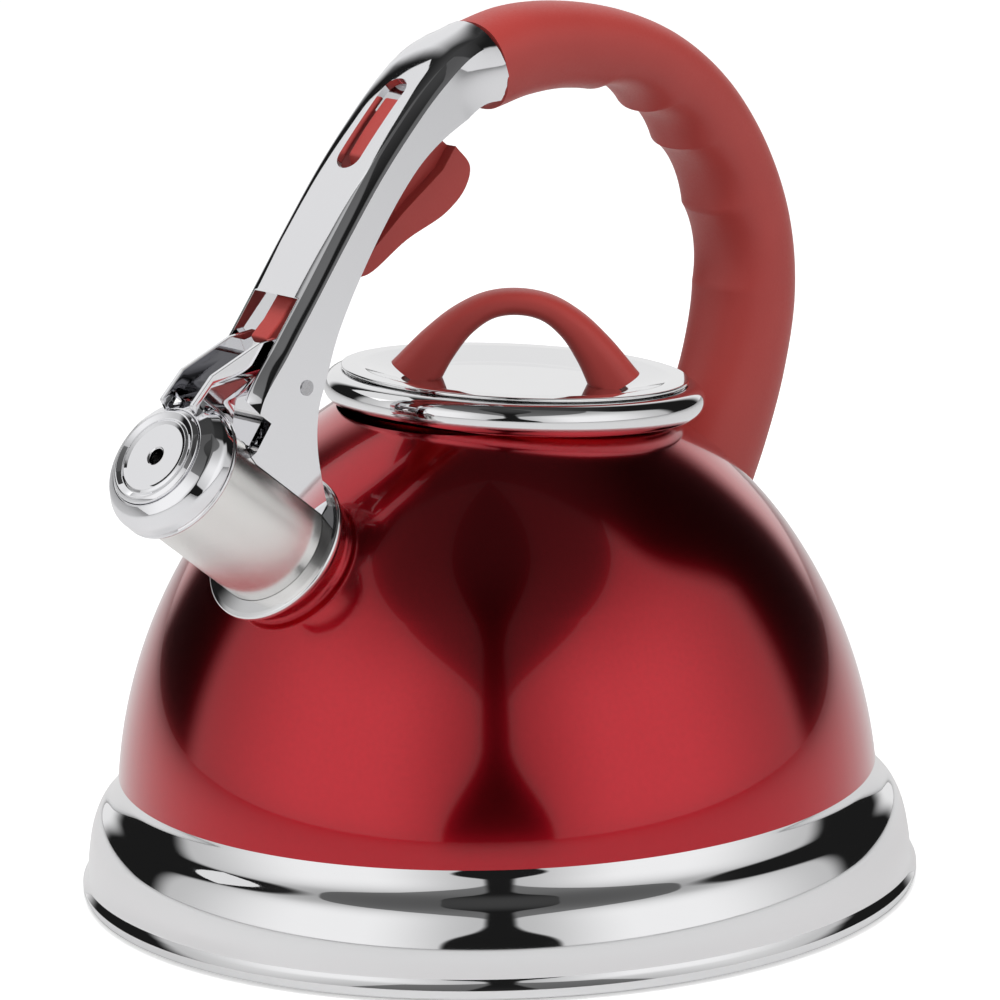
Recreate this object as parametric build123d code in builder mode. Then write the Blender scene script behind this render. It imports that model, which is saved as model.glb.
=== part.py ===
from build123d import *
import os
from math import cos, radians, sin

# Stovetop whistling kettle, millimetres, +Z up.  Origin: centre of the base on the stove face.
# The spout points toward -X and the rear foot of the handle toward +X; y = 0 is the plane of symmetry.

# ---- driving dimensions -------------------------------------------------------------------------
WALL = 1.3                      # pressed steel of body and base
BASE_R = 109.7                  # rolled lip at the foot of the base band
SEAM_R = 99.3                   # body radius where it is welded to the base
SEAM_Z = 31.6
DOME_LEAN = 5.09                 # inward lean of the dome at the seam, degrees
DOME_ARCS = ((130.9, 27.2), (101.8, 9.8), (139.7, 16.0))   # radius and sweep of each tangent arc

FLOOR_Z = 5.4                   # underside of the kettle's floor
DISC_R = 92.0                   # aluminium heat disc
COVER_T = 1.2
DISC_GAP = 0.2                  # braze between the disc and the rim of its cover

NECK_X, NECK_Z, NECK_TILT = 9.6, 129.6, 5.6
NECK_BORE_R = 41.6
RING_R, RING_TUBE = 45.5, 4.3
LID_R = 45.4
LID_SKIRT_R = 41.0
KNOB_TURN = -43.0               # heading of the knob's plane about the neck axis, degrees
KNOB_SPAN = 49.0

SPOUT_X, SPOUT_Z, SPOUT_RISE = -73.8, 103.5, 38.8
SPOUT_R, SPOUT_BORE_R = 16.0, 15.1
COLLAR_R = 20.7
CAP_S = 39.6                    # cap skirt's rear edge, along the spout from its collar
CAP_R, CAP_WALL, CAP_DEPTH = 18.5, 1.0, 10.4
MOUTH_S = CAP_S + 2.5           # spout mouth, just inside the skirt

ARM_HALF = 12.0                 # half width of the cast arm
CHANNEL_HALF = 8.2              # half width of the channel inside it
ARM_SKIN = 2.2
SLOT_LENGTH, SLOT_WIDTH = 29.0, 8.0
HINGE_X, HINGE_Z, HINGE_R = -72.0, 146.5, 2.0
TRIGGER_X, TRIGGER_Z, TRIGGER_R = -47.6, 184.2, 1.75
RUNNING = 0.05                  # radial clearance of a turning fit
CAP_ARM_HALF = 6.4
LEVER_HALF = 3.3                # half thickness of the red lever
PAD_HALF = 6.5                  # half width of its finger pad

SCREW_R, HEAD_R, HEAD_T = 2.0, 3.6, 2.2     # the screws all share one diameter and head
ACROSS = 40.0                   # length of a bore cut right across the arm or the grip

# ---- shared planes and axes ---------------------------------------------------------------------
neck_dir = (sin(radians(NECK_TILT)), 0, cos(radians(NECK_TILT)))
neck_side = Plane((NECK_X, 0, NECK_Z), x_dir=(neck_dir[2], 0, -neck_dir[0]), z_dir=(0, -1, 0))
neck_axis = Axis((NECK_X, 0, NECK_Z), neck_dir)
neck_top = Plane((NECK_X, 0, NECK_Z), x_dir=(neck_dir[2], 0, -neck_dir[0]), z_dir=neck_dir)

spout_dir = (-cos(radians(SPOUT_RISE)), 0, sin(radians(SPOUT_RISE)))
spout_side = Plane((SPOUT_X, 0, SPOUT_Z), x_dir=(spout_dir[2], 0, -spout_dir[0]), z_dir=(0, -1, 0))
spout_axis = Axis((SPOUT_X, 0, SPOUT_Z), spout_dir)


def spout_plane(distance):
    """Plane square to the spout, at a distance along it from the collar."""
    origin = [SPOUT_X + distance * spout_dir[0], 0, SPOUT_Z + distance * spout_dir[2]]
    return Plane(origin, x_dir=(0, 1, 0), z_dir=spout_dir)


def dome_line(inset):
    """The dome's outline in the side plane, set in by a distance, from the seam to the axis side."""
    lean = radians(DOME_LEAN)
    start = (SEAM_R - inset, SEAM_Z)
    line = JernArc(start, (-sin(lean), cos(lean)), DOME_ARCS[0][0] - inset, DOME_ARCS[0][1])
    for radius, sweep_angle in DOME_ARCS[1:]:
        line = JernArc(line @ 1, line % 1, radius - inset, sweep_angle)
    return line @ 1


def dome_solid(inset, foot_z):
    """Solid under the dome's outline, used to cut other pieces to the dome."""
    with BuildPart() as solid:
        with BuildSketch(Plane.XZ):
            with BuildLine():
                top = dome_line(inset)
                Polyline(top, (0, top.Y), (0, foot_z), (SEAM_R - inset, foot_z), (SEAM_R - inset, SEAM_Z))
            make_face()
        revolve(axis=Axis.Z)
    return solid.part


def cylinder_along(axis, radius, start, length):
    """Plain cylinder on an axis, used to cut bores."""
    origin = axis.position + axis.direction * start
    with BuildPart() as solid:
        with BuildSketch(Plane(origin, z_dir=axis.direction)):
            Circle(radius)
        extrude(amount=length)
    return solid.part


def save(piece, name):
    piece.part.label = name
    export_step(piece.part, f"parts/{name}.step")


os.makedirs("parts", exist_ok=True)
dome_outside = dome_solid(0, 0)
spout_hole = cylinder_along(spout_axis, SPOUT_R, -20, 60)
neck_hole = cylinder_along(neck_axis, NECK_BORE_R, -14, 40)
hinge_axis = Axis((HINGE_X, 0, HINGE_Z), (0, 1, 0))
trigger_axis = Axis((TRIGGER_X, 0, TRIGGER_Z), (0, 1, 0))

# ---- body and base ------------------------------------------------------------------------------
COLLAR_TOP, COLLAR_LOW = 1.0, -12.4      # upstand round the neck, from the ring's middle plane
with BuildPart() as body_shell:
    with BuildSketch(Plane.XZ):
        with BuildLine():
            outer_top = dome_line(0)
            inner_top = dome_line(WALL)
            Line(outer_top, inner_top)
            Line((SEAM_R, SEAM_Z), (SEAM_R - WALL, SEAM_Z))
        make_face()
    revolve(axis=Axis.Z)
    # short tilted collar that carries the neck ring
    with BuildSketch(neck_side):
        with Locations((NECK_BORE_R + WALL / 2, (COLLAR_TOP + COLLAR_LOW) / 2)):
            Rectangle(WALL, COLLAR_TOP - COLLAR_LOW)
    revolve(axis=neck_axis)
    add(neck_hole, mode=Mode.SUBTRACT)
    add(spout_hole, mode=Mode.SUBTRACT)
save(body_shell, "body_shell")

BAND = ((99.3, 31.6), (100.2, 28.2), (104.6, 22.6), (107.0, 16.0), (108.0, 9.0), (108.3, 5.2))
LIP_TOP, LIP_LOW = 3.8, 0.6
FOLD_R = BASE_R - 3             # where the rolled lip turns up to the floor
with BuildPart() as base_pan:
    with BuildSketch(Plane.XZ):
        with BuildLine():
            Spline(*BAND)
            Polyline(BAND[-1], (BASE_R, LIP_TOP), (BASE_R, LIP_LOW + 0.8), (BASE_R - 0.8, LIP_LOW),
                     (FOLD_R, LIP_LOW), (FOLD_R, FLOOR_Z), (0, FLOOR_Z), (0, FLOOR_Z + WALL),
                     (FOLD_R, FLOOR_Z + WALL))
            Spline((FOLD_R, FLOOR_Z + WALL), *[(r - WALL, z) for r, z in reversed(BAND[:-2])])
            Line((SEAM_R - WALL, SEAM_Z), BAND[0])
        make_face()
    revolve(axis=Axis.Z)
save(base_pan, "base_pan")

with BuildPart() as heat_disc:
    with BuildSketch(Plane.XY.offset(COVER_T)):
        Circle(DISC_R)
    extrude(amount=FLOOR_Z - COVER_T)
    chamfer(heat_disc.edges().group_by(Axis.Z)[0], 0.8)
save(heat_disc, "heat_disc")

with BuildPart() as base_cover:
    with BuildSketch():
        Circle(DISC_R + COVER_T + DISC_GAP)
    extrude(amount=FLOOR_Z)
    with BuildSketch(Plane.XY.offset(COVER_T)):
        Circle(DISC_R + DISC_GAP)
    extrude(amount=FLOOR_Z - COVER_T, mode=Mode.SUBTRACT)
    chamfer(base_cover.edges().group_by(Axis.Z)[0], 0.6)
save(base_cover, "base_cover")

# ---- neck ring and lid --------------------------------------------------------------------------
with BuildPart() as neck_ring:
    with BuildSketch(neck_side):
        with Locations((RING_R, 0)):
            Circle(RING_TUBE)
        with Locations((NECK_BORE_R, 0)):
            Rectangle(2 * WALL, 30, mode=Mode.SUBTRACT)
    revolve(axis=neck_axis)
    add(dome_outside, mode=Mode.SUBTRACT)
save(neck_ring, "neck_ring")

LID_EDGE_Y, LID_T, RECESS_R, RECESS = 4.6, 1.0, 30.0, 2.8
LID_RIM_W = 4.0


def lid_side(rise):
    """One side of the lid's section: a flat floor that climbs gently to a flat rim."""
    floor_y, rim_r = LID_EDGE_Y - RECESS + rise, LID_R - LID_RIM_W
    Line((0, floor_y), (RECESS_R, floor_y))
    Spline((RECESS_R, floor_y), (rim_r, LID_EDGE_Y + rise), tangents=((1, 0), (1, 0)))
    Line((rim_r, LID_EDGE_Y + rise), (LID_R, LID_EDGE_Y + rise))


with BuildPart() as lid_stock:
    with BuildSketch(neck_side):
        with BuildLine():
            lid_side(0)
            lid_side(LID_T)
            Line((0, LID_EDGE_Y - RECESS), (0, LID_EDGE_Y - RECESS + LID_T))
            Line((LID_R, LID_EDGE_Y), (LID_R, LID_EDGE_Y + LID_T))
        make_face()
    revolve(axis=neck_axis)

SKIRT_TOP, SKIRT_LOW, SKIRT_T = 4.6, -9.0, 1.0
with BuildPart() as lid_skirt:
    with BuildSketch(neck_side):
        with Locations((LID_SKIRT_R - SKIRT_T / 2, (SKIRT_TOP + SKIRT_LOW) / 2)):
            Rectangle(SKIRT_T, SKIRT_TOP - SKIRT_LOW)
    revolve(axis=neck_axis)
    add(lid_stock.part, mode=Mode.SUBTRACT)
save(lid_skirt, "lid_skirt")

# the knob is an arch standing on the lid; its plane is turned about the neck axis
knob_foot_y = LID_EDGE_Y - RECESS + LID_T
knob_dir = neck_side.x_dir * cos(radians(KNOB_TURN)) + Vector(0, 1, 0) * sin(radians(KNOB_TURN))
knob_side = Plane(neck_side.origin, x_dir=knob_dir, z_dir=knob_dir.cross(Vector(neck_dir)))
KNOB_OUTSIDE = ((33.6, 0), (27.4, 8.4), (20.0, 16.2), (0, 24.2))
KNOB_INSIDE = ((17.6, 0), (13.4, 8.2), (8.4, 14.2), (0, 17.2))
KNOB_DEPTH = 13.0
half_span = KNOB_SPAN / 2


def arch_points(quarter):
    """Both sides of an arch from the points of its right side, raised onto the lid."""
    right = [(x, y + knob_foot_y) for x, y in quarter]
    left = [(-x, y) for x, y in right[:-1]]
    return right + left[::-1]


outside, inside = arch_points(KNOB_OUTSIDE), arch_points(KNOB_INSIDE)
with BuildPart() as knob_stock:
    with BuildSketch(knob_side):
        with BuildLine():
            Spline(*outside)
            Spline(*inside)
            Line(outside[0], inside[0])
            Line(outside[-1], inside[-1])
        make_face()
    extrude(amount=KNOB_DEPTH / 2, both=True)
    fillet(knob_stock.faces().filter_by(Axis((0, 0, 0), knob_side.z_dir)).edges(), 2.0)

KNOB_SCREW_LENGTH, WASHER_R, WASHER_T = 7.8, 4.5, 0.8
lid_under_y = LID_EDGE_Y - RECESS
knob_base = Plane(neck_top.origin + neck_top.z_dir * lid_under_y, x_dir=knob_side.x_dir, z_dir=neck_top.z_dir)


def screw_row(plane, radius, start, length, head_r=0, head_t=0):
    """Pair of plain screws under the knob's feet."""
    with BuildPart() as pair:
        with BuildSketch(plane.offset(start)):
            with Locations((-half_span, 0), (half_span, 0)):
                Circle(radius)
        extrude(amount=length)
        if head_r:
            with BuildSketch(plane.offset(start - head_t)):
                with Locations((-half_span, 0), (half_span, 0)):
                    Circle(head_r)
            extrude(amount=head_t)
    return pair.part


with BuildPart() as lid_washers:
    add(screw_row(knob_base, WASHER_R, -WASHER_T, WASHER_T))
    add(screw_row(knob_base, SCREW_R, -2 * WASHER_T, 4 * WASHER_T), mode=Mode.SUBTRACT)
save(lid_washers, "lid_washers")

with BuildPart() as lid_screws:
    add(screw_row(knob_base, SCREW_R, -WASHER_T, KNOB_SCREW_LENGTH, HEAD_R, HEAD_T))
save(lid_screws, "lid_screws")

with BuildPart() as lid:
    add(lid_stock.part)
    add(screw_row(knob_base, SCREW_R, -LID_T, 3 * LID_T), mode=Mode.SUBTRACT)
save(lid, "lid")

with BuildPart() as lid_knob:
    add(knob_stock.part)
    add(lid_stock.part, mode=Mode.SUBTRACT)
    add(screw_row(knob_base, SCREW_R, -WASHER_T, KNOB_SCREW_LENGTH), mode=Mode.SUBTRACT)
save(lid_knob, "lid_knob")

# ---- spout --------------------------------------------------------------------------------------
with BuildPart() as spout_tube:
    with BuildSketch(spout_plane(-7)):
        Circle(SPOUT_R)
        Circle(SPOUT_BORE_R, mode=Mode.SUBTRACT)
    extrude(amount=MOUTH_S + 7)
save(spout_tube, "spout_tube")

with BuildPart() as spout_collar:
    with BuildSketch(spout_side):
        with BuildLine():
            Polyline((SPOUT_R, 1.6), (COLLAR_R - 1.2, 1.6), (COLLAR_R, 0.7), (COLLAR_R, -0.6),
                     (COLLAR_R - 1.6, -1.8), (COLLAR_R - 2.6, -9), (SPOUT_R, -9), (SPOUT_R, 1.6))
        make_face()
    revolve(axis=spout_axis)
    add(dome_outside, mode=Mode.SUBTRACT)
save(spout_collar, "spout_collar")

# ---- whistling cap: everything on this lever swings about the hinge pin ---------------------------
FACE_R, PLATE_T = 13.4, 0.8
with BuildPart() as cap_shell:
    with BuildSketch(spout_side):
        with BuildLine():
            Polyline((CAP_R - CAP_WALL, CAP_S), (CAP_R, CAP_S), (CAP_R, CAP_S + 3.2))
            Spline((CAP_R, CAP_S + 3.2), (CAP_R - 1.3, CAP_S + 6.3), (FACE_R, CAP_S + 9.2))
            Polyline((FACE_R, CAP_S + 9.2), (FACE_R, CAP_S + 8.0))
            Spline((FACE_R, CAP_S + 8.0), (CAP_R - 2.2, CAP_S + 5.7), (CAP_R - CAP_WALL, CAP_S + 3.2))
            Line((CAP_R - CAP_WALL, CAP_S + 3.2), (CAP_R - CAP_WALL, CAP_S))
        make_face()
    revolve(axis=spout_axis)
save(cap_shell, "cap_shell")

# slightly dished whistle plate in the face of the cap
with BuildPart() as whistle_plate:
    with BuildSketch(spout_side):
        with BuildLine():
            Polyline((FACE_R, CAP_S + 8.1), (FACE_R, CAP_S + 10.0), (FACE_R - 1.4, CAP_S + 10.4),
                     (FACE_R - 2.8, CAP_S + 9.6), (FACE_R - 3.6, CAP_S + 10.1), (FACE_R - 4.6, CAP_S + 9.9),
                     (2.2, CAP_S + 9.2), (2.2, CAP_S + 8.4), (FACE_R - 4.6, CAP_S + 8.9),
                     (FACE_R - 2.4, CAP_S + 8.7), (FACE_R, CAP_S + 8.1))
        make_face()
    revolve(axis=spout_axis)
save(whistle_plate, "whistle_plate")

with BuildPart() as whistle_disc:
    with BuildSketch(spout_plane(MOUTH_S + 0.6)):
        Circle(CAP_R - CAP_WALL - 0.4)
        Circle(2.0, mode=Mode.SUBTRACT)
    extrude(amount=PLATE_T)
save(whistle_disc, "whistle_disc")

cap_blank = cylinder_along(spout_axis, CAP_R, CAP_S - 1, CAP_DEPTH + 3)
hinge_bore = cylinder_along(hinge_axis, HINGE_R + RUNNING, -ACROSS / 2, ACROSS)
CAP_ARM_T = 1.4
with BuildPart() as cap_arm:
    with BuildSketch(Plane.XZ):
        with BuildLine():
            Polyline((-74.5, 158.6), (-82, 158.4), (-97.8, 153.0), (-104.6, 146.4), (-101, 139),
                     (-92, 139), (-90.5, 146.2), (-84, 146.2), (-76, 142.8))
            Polyline((-76, 142.8), (-69, 142.8), (-68, 147), (-70, 154), (-74.5, 158.6))
        make_face()
    extrude(amount=CAP_ARM_HALF, both=True)
    # channel between the two side plates; a floor is left below the plates' upper edge
    with BuildSketch(Plane.XZ):
        with BuildLine():
            Polyline((-60, 165), (-82, 165), (-112, 160), (-112, 140), (-103.5, 140), (-101.3, 145.0),
                     (-95.6, 150.2), (-82, 154.8), (-79.4, 154.8), (-79.4, 151), (-60, 151), (-60, 165),
                     close=False)
        make_face()
    extrude(amount=CAP_ARM_HALF - CAP_ARM_T, both=True, mode=Mode.SUBTRACT)
    with BuildSketch(Plane.XZ):
        with BuildLine():
            Polyline((-60, 151), (-78, 151), (-78, 153.2), (-82, 153.2), (-94.9, 148.8), (-99.6, 144.6),
                     (-102, 138), (-60, 138), (-60, 151))
        make_face()
    extrude(amount=CAP_ARM_HALF - CAP_ARM_T, both=True, mode=Mode.SUBTRACT)
    add(cap_blank, mode=Mode.SUBTRACT)
    add(cylinder_along(spout_axis, SPOUT_R + 1.2, 15, CAP_S - 15), mode=Mode.SUBTRACT)
    add(hinge_bore, mode=Mode.SUBTRACT)
save(cap_arm, "cap_arm")

with BuildPart() as cap_hinge_pin:
    add(cylinder_along(hinge_axis, HINGE_R, -ARM_HALF - 0.3, 2 * ARM_HALF + 0.6))
save(cap_hinge_pin, "cap_hinge_pin")

# ---- red trigger lever ----------------------------------------------------------------------------
trigger_bore = cylinder_along(trigger_axis, TRIGGER_R + RUNNING, -ACROSS / 2, ACROSS)
with BuildPart() as trigger_lever:
    with BuildSketch(Plane.XZ):
        with BuildLine():
            Spline((-29.2, 212.7), (-36.2, 206.4), (-42.4, 199.9))
            Polyline((-42.4, 199.9), (-42.0, 196.2), (-50.4, 187.4), (-60.2, 176.2), (-72.6, 162.3),
                     (-77.2, 158.6), (-76.0, 156.6), (-71.0, 157.6), (-58, 170.0))
            Spline((-58, 170.0), (-46, 170.2), (-32.1, 177.2), (-18.1, 182.3), (-10.4, 189.0))
            ThreePointArc((-10.4, 189.0), (-10.2, 195.0), (-14.4, 199.0))
            Polyline((-14.4, 199.0), (-21, 204.5), (-29.2, 212.7))
        make_face()
    extrude(amount=LEVER_HALF, both=True)
    with BuildSketch(Plane.XZ):
        with BuildLine():
            Spline((-50, 170.3), (-46, 170.2), (-32.1, 177.2), (-18.1, 182.3), (-10.4, 189.0))
            ThreePointArc((-10.4, 189.0), (-10.2, 195.0), (-14.4, 199.0))
            Polyline((-14.4, 199.0), (-19, 193.5), (-33, 184.5), (-43, 177), (-50, 170.3))
        make_face()
    extrude(amount=PAD_HALF, both=True)
    add(trigger_bore, mode=Mode.SUBTRACT)
save(trigger_lever, "trigger_lever")

with BuildPart() as trigger_pin:
    add(cylinder_along(trigger_axis, TRIGGER_R, -ARM_HALF + 0.6, 2 * ARM_HALF - 1.2))
save(trigger_pin, "trigger_pin")

# two coils of the return spring, one on each side of the lever
COIL_R, WIRE_R, COIL_TURNS, COIL_PITCH = 3.6, 0.5, 3, 1.15
with BuildPart() as trigger_spring:
    for side in (-1, 1):
        for turn in range(COIL_TURNS):
            offset_y = side * (LEVER_HALF + 0.9 + turn * COIL_PITCH)
            with Locations(Plane((TRIGGER_X, offset_y, TRIGGER_Z), z_dir=(0, 1, 0))):
                Torus(COIL_R, WIRE_R)
save(trigger_spring, "trigger_spring")

# ---- cast arm -------------------------------------------------------------------------------------
ARM_FRONT = ((-4.6, 229.6), (-15.5, 224.8), (-27.0, 217.0), (-38.0, 207.2), (-48.0, 197.0),
             (-60.0, 182.9), (-72.0, 168.0))
ARM_BACK = ((2.6, 205.2), (-12.0, 206.6), (-24.1, 202.5), (-34.6, 195.2), (-42.8, 185.9), (-49.8, 177.0))
ARM_HEEL = ((-49.8, 177.0), (-58.0, 165.4), (-64.4, 152.0), (-68.4, 140.0), (-68.6, 128.1), (-65.5, 116.1))


def inset(points, distance):
    """Points moved in from an outline, square to its run."""
    moved = []
    for before, point, after in zip(points, points[1:], points[2:]):
        run = (Vector(after) - Vector(before)).normalized()
        moved.append((point[0] - run.Y * distance, point[1] + run.X * distance))
    return moved


FOOT_GAP, COLLAR_TOP_S = 0.1, 1.7
BRACKET_HALF, SEAT_HALF = 7.0, 7.2       # half widths of the front bracket and of its seat
slot_plane = Plane((-37.0, 0, 207.5), x_dir=(-21, 0, -20), z_dir=(-20, 0, 21))
channel_front = inset(ARM_FRONT + ((-73.5, 166.0),), ARM_SKIN)
with BuildPart() as arm_housing:
    with BuildSketch(Plane.XZ):
        with BuildLine():
            Spline(*ARM_FRONT)
            Polyline(ARM_FRONT[-1], (-89.8, 145.9), (-85.6, 137.4), (-89.3, 131.3), (-86, 118), (-66, 108),
                     ARM_HEEL[-1])
            Spline(*ARM_HEEL)
            Spline(*ARM_BACK)
            Line(ARM_BACK[0], ARM_FRONT[0])
        make_face()
    extrude(amount=ARM_HALF, both=True)
    # open channel for the lever, the cap's arm and the window above the cap
    with BuildSketch(Plane.XZ):
        with BuildLine():
            Spline(*channel_front)
            Polyline(channel_front[-1], (-74.5, 171.5), (-84, 171.5), (-100, 150), (-100, 134), (-64, 134),
                     (-40, 150), (-20, 190), (-9.5, 200), (-9.5, 217.5), channel_front[0])
        make_face()
    extrude(amount=CHANNEL_HALF, both=True, mode=Mode.SUBTRACT)
    # slot over the fin of the lever
    with BuildSketch(slot_plane):
        SlotOverall(SLOT_LENGTH, SLOT_WIDTH)
    extrude(amount=8, both=True, mode=Mode.SUBTRACT)
    # the foot sits on the spout tube, just clear of its collar
    add(cylinder_along(spout_axis, SPOUT_R + FOOT_GAP, COLLAR_TOP_S, 45), mode=Mode.SUBTRACT)
    add(cylinder_along(spout_axis, COLLAR_R + 2, COLLAR_TOP_S - 20, 20), mode=Mode.SUBTRACT)
    # seats of the front bracket
    with BuildSketch(spout_side):
        with Locations((SPOUT_R, 7.9)):
            Rectangle(3.2, 12.4)
    extrude(amount=SEAT_HALF, both=True, mode=Mode.SUBTRACT)
    with BuildSketch(Plane.XZ):
        with Locations((-62.4, 122)):
            Rectangle(12, 28)
    extrude(amount=SEAT_HALF, both=True, mode=Mode.SUBTRACT)
    add(cylinder_along(hinge_axis, HINGE_R, -ACROSS / 2, ACROSS), mode=Mode.SUBTRACT)
    add(cylinder_along(trigger_axis, TRIGGER_R, -ARM_HALF + 0.6, 2 * ARM_HALF - 1.2), mode=Mode.SUBTRACT)

# screw that draws the arm onto its bracket, seen in the open back of the arm
FOOT_SCREW_Z = 130.2
foot_screw_axis = Axis((-66.4, 0, FOOT_SCREW_Z), (-1, 0, 0))
with BuildPart() as front_screw:
    add(cylinder_along(foot_screw_axis, SCREW_R, -1.0, 9.0))
    add(cylinder_along(foot_screw_axis, HEAD_R, -2.2, HEAD_T))
save(front_screw, "front_screw")

# tab and saddle welded on the spout tube, inside the foot of the arm
BRACKET_T, BRACKET_TOP = 1.7, 135.0
BRACKET_X = -67.45
with BuildPart() as front_bracket:
    add(cylinder_along(spout_axis, SPOUT_R + 1.4, 2.4, 11.6))
    with BuildSketch(Plane.XZ):
        with Locations((BRACKET_X, BRACKET_TOP - 10)):
            Rectangle(BRACKET_T, 20)
    extrude(amount=BRACKET_HALF, both=True)
    with BuildSketch(Plane.XZ):
        with Locations((-77, 125)):
            Rectangle(30, 24)
    extrude(amount=BRACKET_HALF, both=True, mode=Mode.INTERSECT)
    add(spout_hole, mode=Mode.SUBTRACT)
    add(cylinder_along(foot_screw_axis, SCREW_R, -6, 14), mode=Mode.SUBTRACT)
save(front_bracket, "front_bracket")

# ---- grip -----------------------------------------------------------------------------------------
# stations along the grip: centre x and z, heading in degrees, depth, width
GRIP = (
    (-1.0, 217.2, 197.0, 23.5, 24.0),
    (12.0, 219.2, 182.0, 23.5, 24.6),
    (28.0, 218.6, 172.0, 22.5, 25.4),
    (45.5, 214.6, 160.5, 22.0, 26.4),
    (61.5, 206.8, 146.5, 22.5, 27.2),
    (75.2, 194.6, 131.0, 23.5, 28.0),
    (86.2, 178.2, 114.0, 24.0, 28.0),
    (92.6, 160.4, 98.5, 24.5, 28.0),
    (93.6, 142.6, 82.0, 25.5, 27.6),
    (89.4, 124.4, 69.5, 27.0, 26.6),
    (82.4, 108.0, 62.0, 29.0, 25.6),
    (73.6, 91.6, 61.5, 30.0, 25.0),
)


def grip_plane(x, z, heading):
    """Plane square to the grip's run at one of its stations."""
    direction = (cos(radians(heading)), 0, sin(radians(heading)))
    return Plane((x, 0, z), x_dir=(0, 1, 0), z_dir=direction)


joint_plane = grip_plane(*GRIP[0][:3])
joint_axis = Axis(joint_plane.origin, joint_plane.z_dir)
grip_end = grip_plane(*GRIP[-2][:3])
RIB_HALF, RIB_T, RIB_RISE = 5.0, 2.5, 20.0
PLATE_GAP, FOOT_T = 2.2, 1.2    # the plate fills what the foot leaves of the gap
plate_outside = dome_solid(-PLATE_GAP, 0)
foot_outside = dome_solid(-FOOT_T, 0)

with BuildPart() as rib_stock:
    with BuildSketch(grip_end.offset(-24)):
        Rectangle(RIB_T, 2 * RIB_HALF)
    extrude(amount=24 + RIB_RISE - 6)

grip_screw_plane = grip_end.offset(7)
grip_screw_axis = Axis(grip_screw_plane.origin, (0, 1, 0))

with BuildPart() as grip:
    for x, z, heading, depth, width in GRIP:
        with BuildSketch(grip_plane(x, z, heading)):
            Ellipse(width / 2, depth / 2)
    loft()
    add(plate_outside, mode=Mode.SUBTRACT)
    add(rib_stock.part, mode=Mode.SUBTRACT)
    add(cylinder_along(grip_screw_axis, SCREW_R, -16, 26), mode=Mode.SUBTRACT)
    add(cylinder_along(grip_screw_axis, 3.8, -16, 6), mode=Mode.SUBTRACT)
    add(cylinder_along(joint_axis, SCREW_R, -18, 20), mode=Mode.SUBTRACT)
save(grip, "grip")

# foot welded to the dome, with a rib standing up inside the grip
with BuildPart() as rear_bracket:
    with BuildSketch(grip_end.offset(-30)):
        Ellipse(10.5, 12.0)
    extrude(amount=40)
    add(foot_outside, mode=Mode.INTERSECT)
    add(rib_stock.part)
    add(dome_outside, mode=Mode.SUBTRACT)
    add(cylinder_along(grip_screw_axis, SCREW_R, -16, 26), mode=Mode.SUBTRACT)
save(rear_bracket, "rear_bracket")

# thin plate between the grip and the bracket's foot
with BuildPart() as rear_plate:
    with BuildSketch(grip_end.offset(-30)):
        Ellipse(13.4, 15.6)
    extrude(amount=40)
    add(plate_outside, mode=Mode.INTERSECT)
    add(foot_outside, mode=Mode.SUBTRACT)
    add(rib_stock.part, mode=Mode.SUBTRACT)
save(rear_plate, "rear_plate")

with BuildPart() as rear_screw:
    add(cylinder_along(grip_screw_axis, SCREW_R, -10, 19))
    add(cylinder_along(grip_screw_axis, HEAD_R, -12.2, HEAD_T))
save(rear_screw, "rear_screw")

# long screw that draws the grip against the cast arm
with BuildPart() as grip_bolt:
    add(cylinder_along(joint_axis, SCREW_R, -16, 26.2))
    add(cylinder_along(joint_axis, HEAD_R, 10.2, HEAD_T))
save(grip_bolt, "grip_bolt")

# the arm is saved last, once the screws that enter it are placed
with BuildPart() as arm_bored:
    add(arm_housing.part)
    add(cylinder_along(joint_axis, SCREW_R, -1, 20), mode=Mode.SUBTRACT)
    add(cylinder_along(foot_screw_axis, SCREW_R, 1, 10), mode=Mode.SUBTRACT)
save(arm_bored, "arm_housing")
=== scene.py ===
from math import atan2, cos, pi, radians, sin

import bmesh
import bpy
from mathutils import Matrix, Vector


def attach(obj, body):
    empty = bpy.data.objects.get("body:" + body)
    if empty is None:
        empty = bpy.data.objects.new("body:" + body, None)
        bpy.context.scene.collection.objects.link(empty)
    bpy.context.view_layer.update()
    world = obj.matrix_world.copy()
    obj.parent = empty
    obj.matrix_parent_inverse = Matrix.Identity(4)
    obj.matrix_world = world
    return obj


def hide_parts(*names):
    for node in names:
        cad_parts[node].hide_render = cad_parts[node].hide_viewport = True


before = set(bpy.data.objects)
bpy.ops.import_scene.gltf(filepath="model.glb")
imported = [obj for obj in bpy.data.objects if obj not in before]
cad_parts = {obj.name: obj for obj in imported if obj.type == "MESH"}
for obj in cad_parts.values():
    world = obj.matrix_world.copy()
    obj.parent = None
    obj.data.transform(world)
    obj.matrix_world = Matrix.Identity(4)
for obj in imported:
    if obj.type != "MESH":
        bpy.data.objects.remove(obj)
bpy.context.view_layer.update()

scene = bpy.context.scene

# Lengths below are millimetres in the frame of the CAD model; MM turns them into metres.
MM = 0.001

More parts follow.
